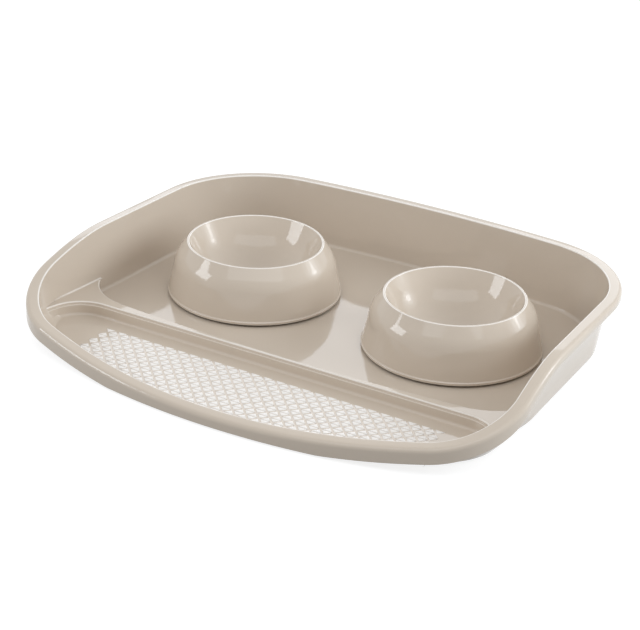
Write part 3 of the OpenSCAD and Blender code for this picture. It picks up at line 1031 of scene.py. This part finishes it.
@dataclass
class Bowl:
    """A round double-walled bowl on four push-in rubber feet."""

    side: Side
    pitch: float = 201.6
    centre_y: float = 41.3
    base_z: float = 6.4
    base_r: float = 78.3
    mouth_r: float = 61.6
    height: float = 47.1
    side_lean: float = 11.1
    crown_lean: float = 36.0
    shoulder_r: float = 30.0
    wall: float = 2.2
    lip_w: float = 1.8
    lip_r: float = 0.85
    dish_depth: float = 37.1
    dish_lean: float = 28.0
    dish_r: float = 45.0
    gap: float = 2.2
    hem_h: float = 2.2
    hem_out: float = 0.3
    pad_r: float = 6.0
    lug_r: float = 8.4
    lug_edge: float = 0.6
    lug_t: float = 2.6
    stem_r: float = 2.2
    stem_fit: float = 0.2
    barb_h: float = 3.0
    barb_out: float = 0.6
    segments: int = 224
    foot_segments: int = 48

    @property
    def centre(self) -> np.ndarray:
        """Centre of the bowl's base."""
        return np.array([self.side.value * self.pitch / 2, self.centre_y, self.base_z])

    def profile(self) -> np.ndarray:
        """The closed profile from the axis below the dish, round the walls, to the dish's middle.

        Its shoulder is an arc at the knee, where the straight side and crown would meet.

        Returns:
            An array of (r, z) with the solid to its left.
        """
        leans = (self.side_lean, self.crown_lean, self.dish_lean)
        side, crown, lean = (math.radians(a) for a in leans)
        t = self.wall
        steep, flat = math.tan(side), math.tan(crown)
        knee_z = (self.mouth_r + self.height * flat - self.base_r) / (flat - steep)
        back = self.shoulder_r * math.tan((crown - side) / 2)
        centre = (np.array([self.base_r - knee_z * steep, knee_z])
                  + back * np.array([math.sin(side), -math.cos(side)])
                  - self.shoulder_r * unit(side))
        inner_skin = arc(centre, self.shoulder_r - t, self.side_lean, self.crown_lean, 10)[::-1]
        outer_skin = arc(centre, self.shoulder_r, self.side_lean, self.crown_lean, 24)
        dish_top = self.mouth_r - self.lip_w
        bottom = self.height - self.dish_depth
        dish_x = (dish_top - (self.dish_depth - self.dish_r) * math.tan(lean)
                  - self.dish_r / math.cos(lean))
        dish_c = np.array([dish_x, bottom + self.dish_r])
        under = arc(dish_c, self.dish_r + t, -90, -self.dish_lean, 20)
        dish = arc(dish_c, self.dish_r, -self.dish_lean, -90, 30)
        low_in = self.base_r - t / math.cos(side)
        hem_x = self.base_r + self.hem_out
        above = self.hem_h + self.hem_out + self.hem_h * steep
        foot = rounded([(low_in, 6), (low_in, 0), (hem_x, 0), (hem_x, self.hem_h),
                        (self.base_r - above * steep, above), outer_skin[0]],
                       [0.3, 0.5, 0.3, 0.4], 5)
        foot[0] = inner_skin[-1]
        lip = rounded([outer_skin[-1], (self.mouth_r, self.height), (dish_top, self.height),
                       dish_c + self.dish_r * unit(-lean)], [self.lip_r, self.lip_r])
        meet = min(float(inner_skin[0][1]), self.height - t)
        link_x = dish_top + t / math.cos(lean) - (self.height - meet) * math.tan(lean)
        return held(np.concatenate([[[0, bottom - t]], under, [[link_x, meet]], inner_skin[:-1],
                                    foot, outer_skin[1:-1], lip, dish[1:-1], [[0, bottom]]]), 0.4)

    def lug_at(self, corner: Corner) -> np.ndarray:
        """Centre of a foot lug's lower face."""
        side = math.cos(math.radians(self.side_lean))
        r = self.base_r - self.wall / side - self.lug_r + self.wall / 2
        return self.centre + [*(r / math.sqrt(2) * np.array(corner.value)), 0]

    def build(self, plastic: Material, rubber: Material) -> None:
        """Builds the bowl and its four feet.

        Args:
            plastic: the bowl's finish.
            rubber: the feet's finish.
        """
        node = f"bowl_{self.side.label}"
        body = f"{node}_body"
        shell = MeshBatch()
        shell.lathe(self.profile(), self.centre, self.segments)
        hole, edge = self.stem_r + self.stem_fit, self.lug_r - self.lug_edge
        lug = rounded([(hole, self.lug_t), (hole, 0), (edge, 0), (edge, self.lug_t)], [0.2, 0.2], 3)
        for corner in Corner:
            shell.lathe(lug, self.lug_at(corner), self.foot_segments, ring=True)
        shell.build(f"{node}_moulding", body, "bowl_plastic", plastic, [node])
        seat = self.lug_t + self.stem_fit
        top = seat + self.barb_h
        sharp = [(0, -self.gap), (self.pad_r, -self.gap), (self.pad_r, 0), (self.stem_r, 0),
                 (self.stem_r, seat), (hole + self.barb_out, seat), (self.stem_r, top), (0, top)]
        profile = held(rounded(sharp, [0.5, 0.3, 0, 0, 0.2, 0.3], 4), 0.2)
        for corner in Corner:
            foot = MeshBatch()
            foot.lathe(profile, self.lug_at(corner), self.foot_segments)
            foot.build(f"{node}_rubber_{corner.label}", body, "foot_rubber", rubber,
                       [f"{node}_foot_{corner.label}"])


# ---- studio ----


def away(azimuth: float, elevation: float) -> Vector:
    """The direction (sin a cos e, -cos a cos e, sin e) from the object, for angles in degrees."""
    a, e = math.radians(azimuth), math.radians(elevation)
    return Vector((math.sin(a) * math.cos(e), -math.cos(a) * math.cos(e), math.sin(e)))


@dataclass(frozen=True)
class Softbox:
    """A studio lamp that points at the object, rectangular or round, seen in gloss or not."""

    name: str
    azimuth: float
    elevation: float
    distance: float
    size: tuple[float, float]
    power: float
    colour: Triple
    mirrored: bool = True
    oval: bool = False
    aim: Triple = (0.0, 0.0, 0.03)

    def place(self) -> None:
        """Makes the lamp at its distance from the aim, facing the aim."""
        lamp = bpy.data.lights.new(self.name, "AREA")
        lamp.shape = "ELLIPSE" if self.oval else "RECTANGLE"
        lamp.size, lamp.size_y = self.size
        lamp.energy = self.power
        lamp.color = self.colour
        obj = put(self.name, lamp)
        back = away(self.azimuth, self.elevation)
        obj.location = Vector(self.aim) + back * self.distance
        obj.rotation_mode = "QUATERNION"
        obj.rotation_quaternion = back.to_track_quat("Z", "Y")
        obj.visible_glossy = self.mirrored


COOL = (0.90, 0.95, 1.0)
COOLER = (0.88, 0.93, 1.0)
BLUISH = (0.84, 0.92, 1.0)
LAMPS = (
    Softbox("left_window", -53, 22, 1.6, (0.62, 0.52), 5.4, COOL),
    Softbox("right_core", 133, 22, 1.55, (0.26, 0.26), 0.7, COOL, oval=True),
    Softbox("right_glow", 133, 22, 1.6, (0.55, 0.55), 1.2, COOL, oval=True),
    Softbox("right_halo", 133, 22, 1.65, (0.95, 0.95), 1.8, COOL, oval=True),
    Softbox("right_wash", 110, 20, 1.6, (0.9, 0.8), 12.0, BLUISH, mirrored=False),
    Softbox("front_overhead", 30, 60, 1.6, (2.2, 0.78), 5.8, COOL),
    Softbox("backdrop", -152, 24, 1.6, (1.6, 0.5), 3.3, COOLER),
)


@dataclass(frozen=True)
class Studio:
    """Camera, floor, world and lamps."""

    lamps: tuple[Softbox, ...] = LAMPS
    azimuth: float = 29.751
    elevation: float = 25.231
    roll: float = 2.333
    distance: float = 1726.8
    target: Triple = (-22.98, 26.88, 6.4)
    focal_px: float = 1948.1
    image_w: int = 640
    sensor: float = 36.0
    world_level: float = 0.6
    floor_reach: float = 12.0
    floor_grey: float = 0.32
    floor_glow: float = 0.82

    def camera(self) -> None:
        """Makes the camera: right = cos r R + sin r U, up = -sin r R + cos r U, for the roll r."""
        data = bpy.data.cameras.new("camera")
        data.sensor_fit = "HORIZONTAL"
        data.sensor_width = self.sensor
        data.lens = self.focal_px / self.image_w * self.sensor
        data.clip_start, data.clip_end = 0.05, 100
        back = away(self.azimuth, self.elevation)
        a, r = math.radians(self.azimuth), math.radians(self.roll)
        level = Vector((math.cos(a), math.sin(a), 0))
        upright = back.cross(level)
        right = level * math.cos(r) + upright * math.sin(r)
        up = upright * math.cos(r) - level * math.sin(r)
        obj = put("camera", data)
        turn = Matrix((right, up, back)).transposed().to_4x4()
        place = Vector(self.target) * MM + back * self.distance * MM
        obj.matrix_world = Matrix.Translation(place) @ turn
        bpy.context.scene.camera = obj

    @staticmethod
    def seen(tree: NodeTree) -> NodeSocket:
        """Adds nodes that give 1 for rays that see a surface, straight, mirrored or refracted.

        Args:
            tree: the node tree of a world or a material.

        Returns:
            The greatest of Is Camera Ray, Is Glossy Ray and Is Transmission Ray.
        """
        path = add_node(tree, "LightPath")
        found = path["Is Camera Ray"]
        for kind in ("Is Glossy Ray", "Is Transmission Ray"):
            found = add_node(tree, "Math", {0: found, 1: path[kind]}, operation="MAXIMUM")["Value"]
        return found

    def world(self) -> None:
        """Makes the world: white where it is seen or mirrored, an even pale light elsewhere."""
        world = bpy.data.worlds.new("studio_world")
        bpy.context.scene.world = world
        world.use_nodes = True
        tree = world.node_tree
        tree.nodes.clear()
        pale, white = (add_node(tree, "Background", {"Color": WHITE, "Strength": level})
                       for level in (self.world_level, 1.0))
        inputs = {"Fac": self.seen(tree), 1: pale["Background"], 2: white["Background"]}
        mix = add_node(tree, "MixShader", inputs)
        add_node(tree, "OutputWorld", {"Surface": mix["Shader"]})

    def floor(self) -> None:
        """Makes the pale floor: a matt white that glows where it is seen, with its shadows."""
        mesh = bpy.data.meshes.new("studio_floor")
        corners = np.array([(-1, -1, 0), (1, -1, 0), (1, 1, 0), (-1, 1, 0)]) * self.floor_reach
        mesh.from_pydata(corners, [], [(0, 1, 2, 3)])
        obj = put("studio_floor", mesh)
        material = bpy.data.materials.new("studio_floor")
        material.use_nodes = True
        tree = material.node_tree
        tree.nodes.clear()
        matt = add_node(tree, "BsdfDiffuse", {"Color": (*(self.floor_grey,) * 3, 1)})
        inputs = {0: self.seen(tree), 1: self.floor_glow}
        level = add_node(tree, "Math", inputs, operation="MULTIPLY")
        glow = add_node(tree, "Emission", {"Color": WHITE, "Strength": level["Value"]})
        both = add_node(tree, "AddShader", {0: matt["BSDF"], 1: glow["Emission"]})
        add_node(tree, "OutputMaterial", {"Surface": both["Shader"]})
        obj.data.materials.append(material)

    def build(self) -> None:
        """Builds the whole studio."""
        self.camera()
        self.world()
        self.floor()
        for lamp in self.lamps:
            lamp.place()
        bpy.context.scene.view_settings.view_transform = "Standard"


# The beige plastic's last colour is its painted edge highlight.
BEIGE = Finish("beige_plastic", (0.60, 0.515, 0.425), (0.59, 0.505, 0.415), 9, 0.06,
               ((14, 1, 0.012, 1 / 14), (900, 1, 0.004, 1 / 900)),
               spread=0.02, painted_highlight=(0.84, 0.79, 0.73))
# The grip pattern is the same beige moulding: its rougher, more varied gloss is its own, its paler
# colour is painted sheen for the light its blocks catch.
GRIP_PAINTED_SHEEN = replace(BEIGE, name="grip_painted_sheen", colour=(0.86, 0.82, 0.78),
               drift=(0.84, 0.80, 0.76), roughness=0.3, spread=0.06)
RUBBER = Finish("grey_rubber", (0.16, 0.14, 0.12), (0.13, 0.115, 0.1), 220, 0.62,
                ((2600, 2, 0.12, 0.0004),))


def main() -> None:
    logging.basicConfig(level=logging.INFO, format="%(message)s")
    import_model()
    plastic, painted_sheen, rubber = BEIGE.make(), GRIP_PAINTED_SHEEN.make(), RUBBER.make()
    Studio().build()
    Tray().build(plastic, painted_sheen, rubber)
    for side in Side:
        Bowl(side).build(plastic, rubber)


if __name__ == "__main__":
    main()
